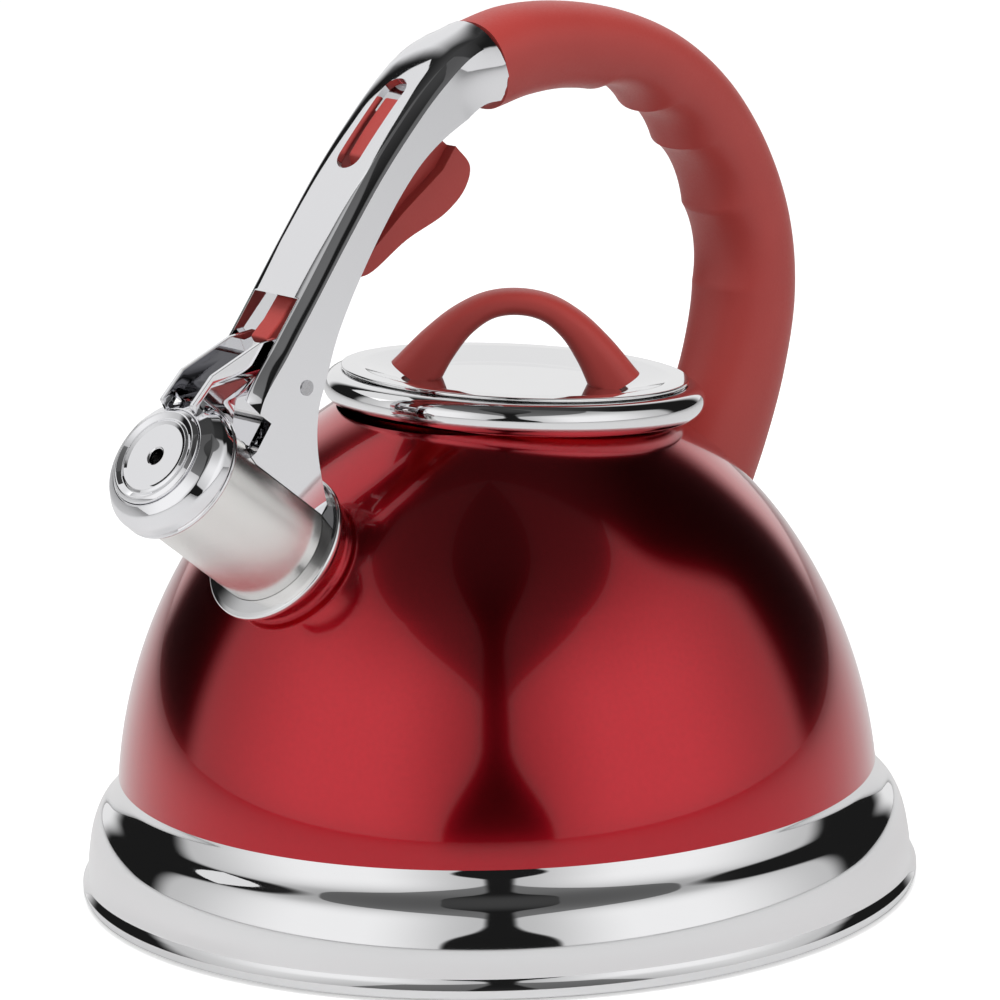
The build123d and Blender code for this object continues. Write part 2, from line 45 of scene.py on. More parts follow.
# ---- driving sizes, as in the CAD model ------------------------------------------------------------
WALL = 1.3
BASE_R, LIP_LOW, FLOOR_Z = 109.7, 0.6, 5.4
SEAM_R, SEAM_Z, DOME_LEAN = 99.3, 31.6, 5.09
DOME_ARCS = ((130.9, 27.2), (101.8, 9.8), (139.7, 16.0))
NECK = Vector((9.6, 0, 129.6))
NECK_TILT = radians(5.6)
NECK_DIR = Vector((sin(NECK_TILT), 0, cos(NECK_TILT)))
NECK_BORE_R, RING_R, RING_TUBE = 41.6, 45.5, 4.3
LID_R, LID_EDGE, LID_FLOOR, LID_T = 45.4, 4.6, 1.8, 1.0
KNOB_TURN = radians(-43)
SPOUT = Vector((-73.8, 0, 103.5))
SPOUT_RISE = radians(38.8)
SPOUT_DIR = Vector((-cos(SPOUT_RISE), 0, sin(SPOUT_RISE)))
SPOUT_R, SPOUT_BORE_R, COLLAR_R = 16.0, 15.1, 20.7
CAP_S, CAP_R, CAP_WALL = 39.6, 18.5, 1.0
MOUTH_S = CAP_S + 2.5
ARM_HALF, CHANNEL_HALF, ARM_SKIN = 12.0, 8.2, 2.2
CAP_ARM_HALF, CAP_ARM_T = 6.4, 1.4
LEVER_HALF, PAD_HALF = 3.3, 6.5
# height on the axis where cutting tools with the dome's outline are closed
DOME_INSIDE_Z = 130


# ---- outline and mesh tools ------------------------------------------------------------------------
def smooth_curve(points, steps):
    """Points along a smooth curve through the given ones (centripetal Catmull-Rom)."""
    points = [Vector(p) for p in points]
    ends = [points[0] * 2 - points[1], *points, points[-1] * 2 - points[-2]]
    curve = []
    for a, b, c, d in zip(ends, ends[1:], ends[2:], ends[3:]):
        t1 = (b - a).length ** 0.5
        t2 = t1 + (c - b).length ** 0.5
        t3 = t2 + (d - c).length ** 0.5
        for step in range(steps):
            t = t1 + (t2 - t1) * step / steps
            ab = a.lerp(b, t / t1)
            bc = b.lerp(c, (t - t1) / (t2 - t1))
            cd = c.lerp(d, (t - t2) / (t3 - t2))
            abc = ab.lerp(bc, t / t2)
            bcd = bc.lerp(cd, (t - t1) / (t3 - t1))
            curve.append(abc.lerp(bcd, (t - t1) / (t2 - t1)))
    return curve + [points[-1]]


def rounded(corners, steps=6):
    """Closed outline from corners (x, y, radius), each corner turned into an arc."""
    outline = []
    count = len(corners)
    for i, (x, y, radius) in enumerate(corners):
        here = Vector((x, y))
        back = Vector(corners[i - 1][:2]) - here
        ahead = Vector(corners[(i + 1) % count][:2]) - here
        half = back.angle(ahead) / 2
        if radius == 0 or abs(half - pi / 2) < 0.01:
            outline.append(here)
            continue
        reach = min(radius / abs(sin(half) / cos(half)), back.length * 0.49, ahead.length * 0.49)
        start, end = here + back.normalized() * reach, here + ahead.normalized() * reach
        for step in range(steps + 1):
            t = step / steps
            outline.append((start.lerp(here, t)).lerp(here.lerp(end, t), t))
    return outline


def bulge(value, power):
    """A sine or cosine raised to a power with its sign kept, for rounded-square sections."""
    return abs(value) ** power * (1 if value > 0 else -1)


def make_object(name, vertices, faces, sharp=35):
    """Mesh object from millimetre points, smooth but for edges sharper than an angle."""
    mesh = bpy.data.meshes.new(name)
    mesh.from_pydata([Vector(v) * MM for v in vertices], [], faces)
    work = bmesh.new()
    work.from_mesh(mesh)
    bmesh.ops.remove_doubles(work, verts=work.verts, dist=1e-7)
    bmesh.ops.recalc_face_normals(work, faces=work.faces)
    work.to_mesh(mesh)
    work.free()
    mesh.shade_smooth()
    mesh.set_sharp_from_angle(angle=radians(sharp))
    piece = bpy.data.objects.new(name, mesh)
    scene.collection.objects.link(piece)
    return piece


def lathe(name, outline, origin=Vector(), axis=Vector((0, 0, 1)), steps=192):
    """Turned piece: a closed outline of (radius, height) points swept round an axis."""
    side = Vector((0, 1, 0)).cross(axis).normalized()
    other = axis.cross(side)
    vertices, faces = [], []
    count = len(outline)
    for step in range(steps):
        turn = 2 * pi * step / steps
        radial = side * cos(turn) + other * sin(turn)
        vertices += [origin + radial * max(r, 0) + axis * h for r, h in outline]
    for step in range(steps):
        a, b = step * count, (step + 1) % steps * count
        for i in range(count):
            j = (i + 1) % count
            if outline[i][0] > 0 or outline[j][0] > 0:
                faces.append((a + i, a + j, b + j, b + i))
    return make_object(name, vertices, faces)


def loft(name, rings, sharp=35):
    """Skin over a row of equal closed rings, with both ends capped."""
    count = len(rings[0])
    vertices = [point for ring in rings for point in ring]
    faces = [tuple(range(count)), tuple(range(len(vertices) - count, len(vertices)))]
    for row in range(len(rings) - 1):
        a, b = row * count, (row + 1) * count
        faces += [(a + i, a + (i + 1) % count, b + (i + 1) % count, b + i) for i in range(count)]
    return make_object(name, vertices, faces, sharp)


def prism(name, outline, y_low, y_high):
    """Outline in the side plane (x, z), given thickness along y."""
    rings = [[(x, y, z) for x, z in outline] for y in (y_low, y_high)]
    return loft(name, rings)


def rod(name, origin, axis, radius, start, end, steps=96):
    """Plain round bar along an axis."""
    return lathe(name, [(0, start), (radius, start), (radius, end), (0, end)], origin, axis, steps)


def apply_modifiers(piece):
    """Replaces the piece's mesh by what its modifiers make of it."""
    mesh = bpy.data.meshes.new_from_object(piece.evaluated_get(bpy.context.evaluated_depsgraph_get()))
    piece.modifiers.clear()
    piece.data = mesh


def cut(piece, *cutters):
    """Takes each cutter out of the piece, and removes the cutter."""
    for cutter in cutters:
        modifier = piece.modifiers.new("cut", "BOOLEAN")
        modifier.object = cutter
        modifier.operation = "DIFFERENCE"
        modifier.solver = "EXACT"
        bpy.context.view_layer.update()
        apply_modifiers(piece)
        bpy.data.objects.remove(cutter)


def join(piece, *others):
    """Adds the meshes of other pieces to a piece."""
    work = bmesh.new()
    for part in (piece, *others):
        work.from_mesh(part.data)
    work.to_mesh(piece.data)
    work.free()
    for part in others:
        bpy.data.objects.remove(part)


def soften(piece, width, segments, angle=30):
    """Small rounded edges, with shading that stays flat on flat faces."""
    bevel = piece.modifiers.new("edges", "BEVEL")
    bevel.width = width * MM
    bevel.segments = segments
    bevel.limit_method = "ANGLE"
    bevel.angle_limit = radians(angle)
    bevel.harden_normals = True
    bevel.use_clamp_overlap = True
    bpy.context.view_layer.update()
    apply_modifiers(piece)


def finish_piece(piece, body, material, *nodes):
    """Gives a piece its material and its body, and hides the CAD nodes that it stands for."""
    piece.data.materials.clear()
    piece.data.materials.append(material)
    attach(piece, body)
    if nodes:
        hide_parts(*nodes)


# ---- materials -------------------------------------------------------------------------------------
# most noise values lie between these two
NOISE_LOW, NOISE_HIGH = 0.3, 0.7


def new_material(name, slot_color, metallic, roughness):
    """Material with plain values on its shader, which links may replace."""
    material = bpy.data.materials.new(name)
    material.use_nodes = True
    shader = material.node_tree.nodes["Principled BSDF"]
    shader.inputs["Base Color"].default_value = (*slot_color, 1)
    shader.inputs["Metallic"].default_value = metallic
    shader.inputs["Roughness"].default_value = roughness
    return material, material.node_tree, shader


def noise(tree, scale, detail, stretch=(1, 1, 1), turn=(0, 0, 0)):
    """Noise in object space, stretched and turned."""
    place = tree.nodes.new("ShaderNodeTexCoord")
    mapping = tree.nodes.new("ShaderNodeMapping")
    mapping.inputs["Rotation"].default_value = turn
    mapping.inputs["Scale"].default_value = stretch
    texture = tree.nodes.new("ShaderNodeTexNoise")
    texture.inputs["Scale"].default_value = scale
    texture.inputs["Detail"].default_value = detail
    tree.links.new(place.outputs["Object"], mapping.inputs["Vector"])
    tree.links.new(mapping.outputs["Vector"], texture.inputs["Vector"])
    return texture.outputs["Fac"]


def spread(tree, value, low, high):
    """Maps a noise value onto a range."""
    ranger = tree.nodes.new("ShaderNodeMapRange")
    ranger.inputs["From Min"].default_value = NOISE_LOW
    ranger.inputs["From Max"].default_value = NOISE_HIGH
    ranger.inputs["To Min"].default_value = low
    ranger.inputs["To Max"].default_value = high
    tree.links.new(value, ranger.inputs["Value"])
    return ranger.outputs["Result"]


def tint(tree, value, first, second):
    """Mixes two colours by a value."""
    ramp = tree.nodes.new("ShaderNodeValToRGB")
    ramp.color_ramp.elements[0].color = (*first, 1)
    ramp.color_ramp.elements[1].color = (*second, 1)
    ramp.color_ramp.elements[0].position = NOISE_LOW
    ramp.color_ramp.elements[1].position = NOISE_HIGH
    tree.links.new(value, ramp.inputs["Fac"])
    return ramp.outputs["Color"]


def relief(tree, shader, value, distance, strength):
    """Raises the surface by a value."""
    bump = tree.nodes.new("ShaderNodeBump")
    bump.inputs["Distance"].default_value = distance
    bump.inputs["Strength"].default_value = strength
    tree.links.new(value, bump.inputs["Height"])
    tree.links.new(bump.outputs["Normal"], shader.inputs["Normal"])


def red_lacquer():
    """Clear red lacquer over polished steel."""
    material, tree, shader = new_material("red_lacquer", (0.36, 0.004, 0.010), 1.0, 0.16)
    flake = noise(tree, 900, 2)
    tree.links.new(tint(tree, flake, (0.47, 0.008, 0.018), (0.50, 0.009, 0.020)), shader.inputs["Base Color"])
    haze = noise(tree, 14, 4)
    tree.links.new(spread(tree, haze, 0.17, 0.20), shader.inputs["Roughness"])
    shader.inputs["Coat Weight"].default_value = 0.8
    shader.inputs["Coat Roughness"].default_value = 0.03
    relief(tree, shader, noise(tree, 60, 2), 0.000005, 0.1)
    return material


def polished(name, color, roughness, wave=0.0):
    """Mirror finish with faint polishing haze and hairline marks."""
    material, tree, shader = new_material(name, color, 1.0, roughness)
    haze = noise(tree, 30, 4)
    tree.links.new(spread(tree, haze, roughness * 0.6, roughness * 1.6), shader.inputs["Roughness"])
    shade = noise(tree, 8, 2)
    darker = tuple(c * 0.965 for c in color)
    tree.links.new(tint(tree, shade, darker, color), shader.inputs["Base Color"])
    relief(tree, shader, noise(tree, 45, 1), 0.00002, 0.15 + wave)
    return material


def satin(name, color, roughness, turn=(0, 0, 0)):
    """Brushed steel: fine grain drawn out along one direction."""
    material, tree, shader = new_material(name, color, 1.0, roughness)
    grain = noise(tree, 500, 3, (1, 1, 10), turn)
    tree.links.new(spread(tree, grain, roughness * 0.9, roughness * 1.12), shader.inputs["Roughness"])
    darker = tuple(c * 0.965 for c in color)
    tree.links.new(tint(tree, grain, darker, color), shader.inputs["Base Color"])
    relief(tree, shader, grain, 0.000012, 0.12)
    return material


def soft_touch():
    """Matt rubbery red paint over moulded plastic."""
    material, tree, shader = new_material("red_soft_touch", (0.45, 0.05, 0.045), 0.0, 0.5)
    cloud = noise(tree, 22, 4)
    tree.links.new(tint(tree, cloud, (0.40, 0.040, 0.034), (0.46, 0.052, 0.045)), shader.inputs["Base Color"])
    grain = noise(tree, 1500, 2)
    tree.links.new(spread(tree, grain, 0.44, 0.56), shader.inputs["Roughness"])
    shader.inputs["Sheen Weight"].default_value = 0.25
    shader.inputs["Sheen Roughness"].default_value = 0.4
    shader.inputs["Sheen Tint"].default_value = (1.0, 0.75, 0.7, 1)
    relief(tree, shader, grain, 0.00006, 0.35)
    return material


def plain_metal(name, color, roughness):
    """Sheet or fastener metal with a light grain."""
    material, tree, shader = new_material(name, color, 1.0, roughness)
    grain = noise(tree, 160, 4)
    tree.links.new(spread(tree, grain, roughness * 0.7, roughness * 1.4), shader.inputs["Roughness"])
    darker = tuple(c * 0.8 for c in color)
    tree.links.new(tint(tree, grain, darker, color), shader.inputs["Base Color"])
    relief(tree, shader, grain, 0.00005, 0.3)
    return material


lacquer = red_lacquer()
mirror_steel = polished("mirror_steel", (0.86, 0.86, 0.87), 0.035)
chrome_plate = polished("chrome_plate", (0.88, 0.88, 0.90), 0.03)
cast_chrome = polished("cast_chrome", (0.87, 0.87, 0.89), 0.04, 0.1)
brushed_steel = satin("brushed_steel", (0.86, 0.85, 0.83), 0.24, (0, SPOUT_RISE - pi / 2, 0))
soft_red = soft_touch()
aluminium = plain_metal("aluminium", (0.78, 0.79, 0.80), 0.35)
fastener = plain_metal("fastener_steel", (0.60, 0.60, 0.62), 0.25)
# near-black polished plate: painted shade, standing in for the dark reflection inside the cap's arm
painted_shade_plate = polished("painted_shade_plate", (0.10, 0.10, 0.11), 0.12)


# ---- body and base ---------------------------------------------------------------------------------
def dome_outline(inset, steps=28):
    """The dome's outline from the seam up: tangent arcs, set in by a distance."""
    heading = radians(90 + DOME_LEAN)
    x, z = SEAM_R - inset, SEAM_Z
    points = [(x, z)]
    for radius, sweep in DOME_ARCS:
        radius -= inset
        centre = (x - radius * sin(heading), z + radius * cos(heading))
        for step in range(1, steps + 1):
            turn = heading + radians(sweep) * step / steps
            points.append((centre[0] + radius * sin(turn), centre[1] - radius * cos(turn)))
        heading += radians(sweep)
        x, z = points[-1]
    return points


body = lathe("body_shell_skin", dome_outline(0) + dome_outline(WALL)[::-1], steps=256)
cut(body, rod("neck_cutter", NECK, NECK_DIR, NECK_BORE_R, -16, 30, 256),
    rod("spout_cutter", SPOUT, SPOUT_DIR, SPOUT_R - 0.2, -24, 40))
NECK_WALL_R = NECK_BORE_R + WALL
collar_outline = [(NECK_BORE_R, -12), (NECK_WALL_R, -12), (NECK_WALL_R, 0.8), (NECK_BORE_R, 0.8)]
join(body, lathe("neck_collar", collar_outline, NECK, NECK_DIR, 256))
finish_piece(body, "kettle", lacquer, "body_shell")

BAND = ((99.3, 31.6), (99.9, 29.2), (101.6, 25.8), (104.6, 22.4), (106.6, 17.6), (107.8, 11.0), (108.3, 5.6))
band_outer = smooth_curve(BAND, 10)
band_inner = [(x - WALL, z) for x, z in band_outer[:-12]]
lip = [(BASE_R - 0.9, 4.6), (BASE_R, 3.4), (BASE_R, 2.0), (BASE_R - 0.5, 1.0), (BASE_R - 1.5, LIP_LOW),
       (BASE_R - 3, LIP_LOW + 0.2)]
floor_line = [(BASE_R - 3.4, FLOOR_Z), (0, FLOOR_Z), (0, FLOOR_Z + WALL), (BASE_R - 5, FLOOR_Z + WALL)]
base = lathe("base_pan_skin", [tuple(p) for p in band_outer] + lip + floor_line + band_inner[::-1], steps=256)
finish_piece(base, "kettle", mirror_steel, "base_pan")

# ---- neck ring and lid -----------------------------------------------------------------------------
# the ring's section: a circle cut flat where it meets the neck
RING_STEPS = 40
ring_outline = []
for step in range(RING_STEPS):
    turn = radians(-150 + 300 * step / (RING_STEPS - 1))
    ring_outline.append((RING_R + RING_TUBE * cos(turn), RING_TUBE * sin(turn)))
ring = lathe("neck_ring_skin", ring_outline, NECK, NECK_DIR, 256)
finish_piece(ring, "kettle", mirror_steel, "neck_ring")

RECESS_R, LID_RIM = 30, 5
LID_TOP = LID_FLOOR + LID_T
lid_corners = [
    (0, LID_TOP, 0), (RECESS_R, LID_TOP, 8), (LID_R - LID_RIM, LID_EDGE + LID_T, 6),
    (LID_R, LID_EDGE + LID_T, 0.5), (LID_R, LID_EDGE, 0.4), (LID_R - LID_RIM, LID_EDGE, 6),
    (RECESS_R, LID_FLOOR, 8), (0, LID_FLOOR, 0)]
lid = lathe("lid_skin", rounded(lid_corners, 8), NECK, NECK_DIR, 256)
finish_piece(lid, "lid", mirror_steel, "lid")

# the knob: an arch whose ribbon is thin at the top and broad at its feet
knob_x = Vector((NECK_DIR.z, 0, -NECK_DIR.x)) * cos(KNOB_TURN) + Vector((0, 1, 0)) * sin(KNOB_TURN)
knob_y = NECK_DIR.cross(knob_x)
KNOB_TOP = 20.8
KNOB_ARCH = ((-26.6, -0.4), (-20.6, 8.4), (-14.4, 15.2), (-7.6, 19.5), (0, KNOB_TOP),
             (7.6, 19.5), (14.4, 15.2), (20.6, 8.4), (26.6, -0.4))
# half sizes of the ribbon at the top, and what each gains toward the feet
KNOB_THICK, KNOB_THICK_GAIN = 3.4, 3.4
KNOB_BROAD, KNOB_BROAD_GAIN = 6.0, 1.0
KNOB_STEPS, KNOB_SQUARE = 48, 0.8
arch = smooth_curve(KNOB_ARCH, 12)
rings = []
for i, point in enumerate(arch):
    ahead, behind = arch[min(i + 1, len(arch) - 1)], arch[max(i - 1, 0)]
    run = (ahead - behind).normalized()
    across = Vector((-run.y, run.x))
    low = max(0, 1 - point.y / KNOB_TOP)
    thick = KNOB_THICK + KNOB_THICK_GAIN * low ** 1.1
    broad = KNOB_BROAD + KNOB_BROAD_GAIN * low
    ring_points = []
    for step in range(KNOB_STEPS):
        turn = 2 * pi * step / KNOB_STEPS
        u = bulge(cos(turn), KNOB_SQUARE) * thick
        v = bulge(sin(turn), KNOB_SQUARE) * broad
        spot = point + across * u
        lift = max(LID_TOP - 0.2, LID_TOP + spot.y)
        ring_points.append(NECK + knob_x * spot.x + NECK_DIR * lift + knob_y * v)
    rings.append(ring_points)
knob = loft("lid_knob_skin", rings, 60)
finish_piece(knob, "lid", soft_red, "lid_knob")

# ---- spout -----------------------------------------------------------------------------------------
tube_outline = rounded([
    (SPOUT_BORE_R, -7, 0), (SPOUT_R, -7, 0), (SPOUT_R, MOUTH_S, 0.4), (SPOUT_BORE_R, MOUTH_S, 0.4)])
spout = lathe("spout_tube_skin", tube_outline, SPOUT, SPOUT_DIR, 192)
finish_piece(spout, "kettle", brushed_steel, "spout_tube")

collar_outline = rounded([(SPOUT_R + 0.1, 1.6, 0), (COLLAR_R - 1.4, 1.2, 0.5), (COLLAR_R, 0.9, 0.8),
                          (COLLAR_R, -0.9, 0.8), (COLLAR_R - 2.0, -1.4, 0.8), (COLLAR_R - 2.8, -8.6, 0.2),
                          (SPOUT_R + 0.1, -8.6, 0)])
collar = lathe("spout_collar_skin", collar_outline, SPOUT, SPOUT_DIR, 192)
cut(collar, lathe("dome_cutter", dome_outline(0.1) + [(0, DOME_INSIDE_Z), (0, SEAM_Z)], steps=256))
finish_piece(collar, "kettle", mirror_steel, "spout_collar")

# ---- whistling cap ---------------------------------------------------------------------------------
cap_outline = rounded([
    (CAP_R - CAP_WALL, CAP_S, 0.3), (CAP_R, CAP_S, 0.4), (CAP_R, CAP_S + 0.9, 0.3),
    (CAP_R - 0.5, CAP_S + 1.25, 0.1), (CAP_R - 0.1, CAP_S + 1.6, 0.2), (CAP_R - 0.1, CAP_S + 4.6, 3.0),
    (CAP_R - 2.0, CAP_S + 7.4, 2.6),
    (13.6, CAP_S + 9.2, 1.4), (13.2, CAP_S + 8.2, 0), (CAP_R - 3.0, CAP_S + 6.4, 2.0),
    (CAP_R - CAP_WALL, CAP_S + 3.6, 1.8)], 8)
cap = lathe("cap_shell_skin", cap_outline, SPOUT, SPOUT_DIR, 192)
finish_piece(cap, "cap", chrome_plate, "cap_shell")

dish_outline = rounded([
    (13.3, CAP_S + 8.2, 0.1), (13.4, CAP_S + 9.6, 0.4), (12.2, CAP_S + 10.4, 0.6), (10.6, CAP_S + 9.6, 0.4),
    (9.8, CAP_S + 10.1, 0.4), (8.8, CAP_S + 9.8, 0.5), (2.6, CAP_S + 9.6, 0.4), (2.2, CAP_S + 9.3, 0.2),
    (2.2, CAP_S + 8.4, 0), (8.8, CAP_S + 8.9, 0.4), (11.0, CAP_S + 8.7, 0.4)])
dish = lathe("whistle_plate_skin", dish_outline, SPOUT, SPOUT_DIR, 160)
finish_piece(dish, "cap", chrome_plate, "whistle_plate")

# the cap's arm: two side plates and the floor between them; the floor's dark colour is painted shade
side_outline = rounded([
    (-73.6, 159.4, 1.0), (-82, 158.9, 4), (-97.8, 153.2, 2.5), (-105.0, 146.6, 1.0), (-101, 139, 0),
    (-92, 139, 0), (-90.5, 146.2, 1.5), (-84, 146.4, 3), (-76, 142.6, 3), (-69, 142.2, 3),
    (-67.4, 147.5, 3), (-70, 154.6, 2)])
floor_outline = rounded([
    (-78.4, 154.8, 0.3), (-82, 154.8, 2), (-95.6, 150.2, 3), (-101.3, 145.2, 2), (-103.6, 139, 0),
    (-102.0, 138, 0), (-99.6, 144.4, 2), (-94.9, 148.7, 3), (-82, 153.2, 2), (-78.4, 153.2, 0.3)])
CAP_ARM_INSIDE = CAP_ARM_HALF - CAP_ARM_T
# the floor is an extra sheet that stands for no CAD node; its dark colour is painted shade
cap_arm_shade_floor = prism("cap_arm_shade_floor_skin", floor_outline, -CAP_ARM_INSIDE, CAP_ARM_INSIDE)
sides = [prism("cap_arm_side", side_outline, -CAP_ARM_HALF, -CAP_ARM_INSIDE),
         prism("cap_arm_side", side_outline, CAP_ARM_INSIDE, CAP_ARM_HALF)]
for side in sides:
    soften(side, 0.25, 2)
cap_arm = sides[0]
cap_arm.name = "cap_arm_skin"
join(cap_arm, sides[1])
for piece in (cap_arm, cap_arm_shade_floor):
    cut(piece, rod("cap_cutter", SPOUT, SPOUT_DIR, CAP_R - 0.3, CAP_S - 4, CAP_S + 8.0))
finish_piece(cap_arm, "cap", chrome_plate, "cap_arm")
finish_piece(cap_arm_shade_floor, "cap", painted_shade_plate)

# ---- red lever -------------------------------------------------------------------------------------
FIN = [(-29.2, 212.7), (-36.2, 206.4), (-42.4, 199.9)]
LEVER_LOW = [(-42.0, 196.2), (-50.4, 187.4), (-60.2, 176.2), (-72.6, 162.3), (-77.2, 158.6), (-76.0, 156.6),
             (-71.0, 157.6), (-58, 170.0)]
PAD_BACK = [(-50.0, 170.2), (-45.0, 170.6), (-32.1, 177.2), (-18.1, 182.3), (-11.4, 187.6), (-9.6, 193.0),
            (-14.4, 199.0)]
pad_back = [tuple(p) for p in smooth_curve(PAD_BACK, 8)]
web_outline = [tuple(p) for p in smooth_curve(FIN, 8)] + LEVER_LOW + pad_back
web = prism("trigger_web", web_outline + [(-21, 204.5)], -LEVER_HALF, LEVER_HALF)
soften(web, 0.6, 3)
pad_front = [(-19, 193.5), (-33, 184.5), (-43, 177)]
pad = prism("trigger_pad", pad_back + pad_front, -PAD_HALF, PAD_HALF)
soften(pad, 2.2, 5)
join(web, pad)
web.name = "trigger_lever_skin"
finish_piece(web, "trigger", soft_red, "trigger_lever")

# ---- cast arm --------------------------------------------------------------------------------------
# pairs of points on the front and the back of the arm, from the grip down to the spout
ARM = (((-4.6, 229.2), (2.4, 206.0)), ((-15.5, 224.8), (-8.0, 208.4)), ((-27.0, 217.0), (-19.5, 204.6)),
       ((-38.0, 207.2), (-29.6, 198.8)), ((-48.0, 197.0), (-38.5, 190.4)), ((-60.0, 182.9), (-50.5, 175.2)),
       ((-72.0, 168.0), (-60.8, 158.6)), ((-80.5, 157.6), (-65.2, 147.9)), ((-89.8, 145.9), (-68.2, 140.0)),
       ((-92.0, 138.0), (-69.0, 130.0)), ((-92.6, 126.6), (-65.5, 110.0)))
fronts = smooth_curve([pair[0] for pair in ARM], 10)
backs = smooth_curve([pair[1] for pair in ARM], 10)
# half of the section: (share of half width, depth from the front in mm); the corner is a narrow facet
FACET_DEPTH = 3.4
FACET = ((0, 0), (0.25, 0.06), (0.5, 0.25), (0.72, 0.6), (0.80, 0.95), (1.0, FACET_DEPTH))
OVAL_HALF = 12.2


def arm_ring(front, back, share):
    """Closed section of the arm; share 0 is the oval at the grip, 1 the faceted section."""
    inward = (back - front).normalized()
    depth = (back - front).length
    half = [(w * ARM_HALF, d) for w, d in FACET]
    half += [(ARM_HALF, FACET_DEPTH + (depth - FACET_DEPTH) * k / 6) for k in range(1, 7)]
    half += [(ARM_HALF * k / 5, depth) for k in range(4, 0, -1)]
    outline = half + [(0, depth)] + [(-w, d) for w, d in half[:0:-1]]
    ring_points = []
    for w, d in outline:
        turn = atan2(w / ARM_HALF, 1 - 2 * d / depth)
        oval = (OVAL_HALF * sin(turn), depth / 2 * (1 - cos(turn)))
        y = oval[0] + (w - oval[0]) * share
        along = front + inward * (oval[1] + (d - oval[1]) * share)
        ring_points.append((along.x, y, along.y))
    return ring_points


rings = []
for i, (front, back) in enumerate(zip(fronts, backs)):
    rings.append(arm_ring(front, back, min(1, i / 16) ** 0.8))
arm = loft("arm_housing_skin", rings, 28)


def inset(points, distance):
    """Points moved in from an outline, square to its run."""
    moved = []
    for before, point, after in zip(points, points[1:], points[2:]):
        run = (Vector(after) - Vector(before)).normalized()
        moved.append((point[0] - run.y * distance, point[1] + run.x * distance))
    return moved


# the hollow in the arm runs from just below the grip to above the cap's arm
CHANNEL_FIRST, CHANNEL_LAST = 5, 61
channel_front = inset([tuple(p) for p in fronts[CHANNEL_FIRST:CHANNEL_LAST]], ARM_SKIN)
channel = prism("channel_cutter", channel_front + [
    (-75.5, 170.5), (-84, 170.5), (-104, 150), (-104, 134), (-60, 134), (-40, 150), (-20, 190), (-9.5, 200),
    (-9.5, 217.5)], -CHANNEL_HALF, CHANNEL_HALF)
slot_run = Vector((-20, 0, -19)).normalized()
slot_up = Vector((-slot_run.z, 0, slot_run.x)) * -1
slot_middle = Vector((-37.0, 0, 207.5))
SLOT_STRAIGHT, SLOT_R, SLOT_STEPS = 10.5, 4, 16
slot_ring = []
for end in (1, -1):
    for step in range(SLOT_STEPS + 1):
        turn = radians(-90 + 180 * step / SLOT_STEPS)
        along = end * (SLOT_STRAIGHT + SLOT_R * cos(turn))
        slot_ring.append(slot_middle + slot_run * along + Vector((0, end * SLOT_R * sin(turn), 0)))
slot = loft("slot_cutter", [[p + slot_up * h for p in slot_ring] for h in (-8, 8)])
cut(arm, channel, slot,
    rod("tube_cutter", SPOUT, SPOUT_DIR, SPOUT_R + 0.15, -30, 60, 128),
    rod("collar_cutter", SPOUT, SPOUT_DIR, COLLAR_R + 4, -40, 1.8, 128),
    rod("mouth_cutter", SPOUT, SPOUT_DIR, COLLAR_R + 4, 30.5, 60, 128),
    prism("bracket_cutter", [(-68.6, 100), (-50, 100), (-50, 136), (-68.6, 136)], -7.2, 7.2))
soften(arm, 0.35, 2, 28)
finish_piece(arm, "kettle", cast_chrome, "arm_housing")

# ---- grip ------------------------------------------------------------------------------------------
# stations along the grip: centre, heading, depth and width, as in the CAD model
GRIP = ((-1.0, 217.2, 197.0, 23.5, 24.0), (12.0, 219.2, 182.0, 23.5, 24.6), (28.0, 218.6, 172.0, 22.5, 25.4),
        (45.5, 214.6, 160.5, 22.0, 26.4), (61.5, 206.8, 146.5, 22.5, 27.2), (75.2, 194.6, 131.0, 23.5, 28.0),
        (86.2, 178.2, 114.0, 24.0, 28.0), (92.6, 160.4, 98.5, 24.5, 28.0), (93.6, 142.6, 82.0, 25.5, 27.6),
        (89.4, 124.4, 69.5, 27.0, 26.6), (82.4, 108.0, 62.0, 29.0, 25.6), (73.6, 91.6, 61.5, 30.0, 25.0))
centres = smooth_curve([g[:2] for g in GRIP], 14)
sizes = smooth_curve([g[3:] for g in GRIP], 14)
# ridges between the fingers, on the inner side, and how far up the grip each lies
RIDGES = ((37.0, 208.0), (57.4, 199.6), (69.8, 186.8), (77.6, 166.0), (78.0, 146.0))
HOLLOW, LAST_HOLLOW_SHARE = 2.6, 0.8
GRIP_STEPS, GRIP_SQUARE = 72, 0.88
ridge_steps = [min(range(len(centres)), key=lambda i: (centres[i] - Vector(r)).length) for r in RIDGES]


def hollow_at(step):
    """Depth of the finger hollow at a station."""
    for low, high in zip(ridge_steps, ridge_steps[1:]):
        if low <= step <= high:
            share = (step - low) / (high - low)
            return HOLLOW * sin(pi * share) ** 0.85 * (1 if high != ridge_steps[-1] else LAST_HOLLOW_SHARE)
    return 0.0


rings = []
for i, (centre, size) in enumerate(zip(centres, sizes)):
    ahead, behind = centres[min(i + 1, len(centres) - 1)], centres[max(i - 1, 0)]
    run = (ahead - behind).normalized()
    outward = Vector((-run.y, run.x))
    depth, width = size.x / 2, size.y / 2
    ring_points = []
    for step in range(GRIP_STEPS):
        turn = 2 * pi * step / GRIP_STEPS
        u = bulge(cos(turn), GRIP_SQUARE) * depth
        v = bulge(sin(turn), GRIP_SQUARE) * width
        inner = max(0.0, -cos(turn))
        u += hollow_at(i) * inner ** 1.5
        spot = centre + outward * u
        ring_points.append((spot.x, v, spot.y))
    rings.append(ring_points)
grip = loft("grip_skin", rings, 50)
cut(grip, lathe("foot_cutter", dome_outline(-2.2) + [(0, DOME_INSIDE_Z), (0, 0), (SEAM_R, 0)], steps=256))
soften(grip, 0.4, 2, 50)
finish_piece(grip, "kettle", soft_red, "grip")

